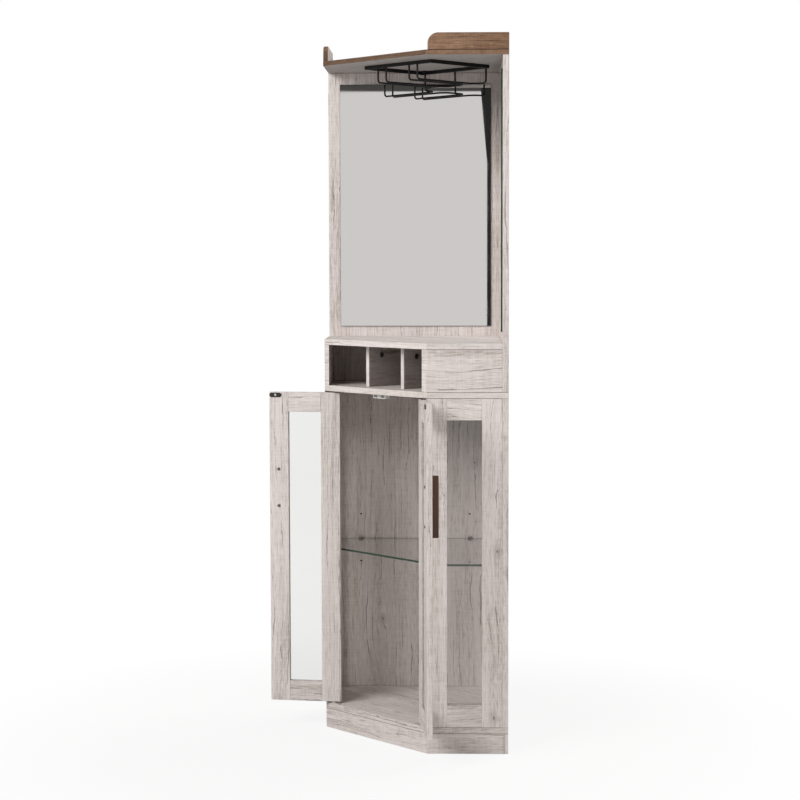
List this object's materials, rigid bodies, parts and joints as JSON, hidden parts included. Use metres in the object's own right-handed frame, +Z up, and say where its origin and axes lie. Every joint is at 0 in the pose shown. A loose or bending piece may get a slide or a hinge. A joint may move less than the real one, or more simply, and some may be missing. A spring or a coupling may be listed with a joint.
{
  "type": "corner bar cabinet",
  "caption": "Tall corner cabinet with a mirrored display niche, a stemware rack, bottle bays and a glazed cupboard with two hinged doors.",
  "frame": {"origin": "on the floor, in the middle of the foot of the front plinth board", "axes": "+Z up, +Y into the room corner, so the doors face -Y; X = 0 is the plane of symmetry"},
  "size_m": [0.666, 0.578, 1.775],
  "materials": {
    "pale_oak": "pale grey-washed oak melamine, satin",
    "brown_oak": "mid-brown oak melamine, satin",
    "walnut_handle": "dark walnut, satin lacquer",
    "clear_glass": "clear float glass with faintly green edges",
    "mirror": "silvered float glass",
    "black_rack": "black powder coat",
    "black_hinge": "black lacquered steel",
    "zinc_cam": "dark zinc casting",
    "screw_steel": "zinc-plated steel",
    "clip_metal": "satin nickel",
    "catch_plastic": "moulded light grey-brown plastic",
    "catch_magnet": "dark ferrite with plain pole faces",
    "washer_nylon": "natural nylon",
    "dowel_beech": "plain beech"
  },
  "bodies": {
    "cabinet": {"base_board": "pale_oak", "cam_locks": "zinc_cam", "catch_housing": "catch_plastic", "catch_magnets": "catch_magnet", "deck_board": "pale_oak", "dowels": "dowel_beech", "fitting_screws": "screw_steel", "glass_shelf": "clear_glass", "hinge_plates": "black_hinge", "left_bay_divider": "pale_oak", "left_bay_side": "pale_oak", "left_lower_back_panel": "pale_oak", "left_mirror": "mirror", "left_plinth_back": "pale_oak", "left_plinth_side": "pale_oak", "left_rack_wire": "black_rack", "left_side_front_stile": "pale_oak", "left_side_glass": "clear_glass", "left_side_rails": "pale_oak", "left_side_rear_stile": "pale_oak", "left_top_rail": "brown_oak", "left_upper_back_panel": "pale_oak", "middle_shelf": "pale_oak", "pivot_washers": "washer_nylon", "plinth_front": "pale_oak", "rack_centre_wire": "black_rack", "rack_frame": "black_rack", "rack_rear_leg": "black_rack", "rack_screws": "black_rack", "right_bay_divider": "pale_oak", "right_bay_side": "pale_oak", "right_lower_back_panel": "pale_oak", "right_mirror": "mirror", "right_plinth_back": "pale_oak", "right_plinth_side": "pale_oak", "right_rack_wire": "black_rack", "right_side_front_stile": "pale_oak", "right_side_glass": "clear_glass", "right_side_rails": "pale_oak", "right_side_rear_stile": "pale_oak", "right_top_rail": "brown_oak", "right_upper_back_panel": "pale_oak", "shelf_clips": "clip_metal", "top_board": "brown_oak"},
    "right_door": {"right_door_glass": "clear_glass", "right_door_handle": "walnut_handle", "right_door_hinge_leaves": "black_hinge", "right_door_hinge_stile": "pale_oak", "right_door_meeting_stile": "pale_oak", "right_door_rails": "pale_oak", "right_door_screws": "screw_steel", "right_door_strike_plate": "black_hinge"},
    "left_door": {"left_door_glass": "clear_glass", "left_door_handle": "walnut_handle", "left_door_hinge_leaves": "black_hinge", "left_door_hinge_stile": "pale_oak", "left_door_meeting_stile": "pale_oak", "left_door_rails": "pale_oak", "left_door_screws": "screw_steel", "left_door_strike_plate": "black_hinge"}
  },
  "joints": [
    {"name": "right_door_hinge", "type": "hinge", "parent": "cabinet", "child": "right_door", "pos_m": [0.168, 0, 0.477], "axis": [0, 0, 1], "range_deg": [-141.89, 0]},
    {"name": "left_door_hinge", "type": "hinge", "parent": "cabinet", "child": "left_door", "pos_m": [-0.168, 0, 0.477], "axis": [0, 0, -1], "range_deg": [-141.89, 0]}
  ]
}
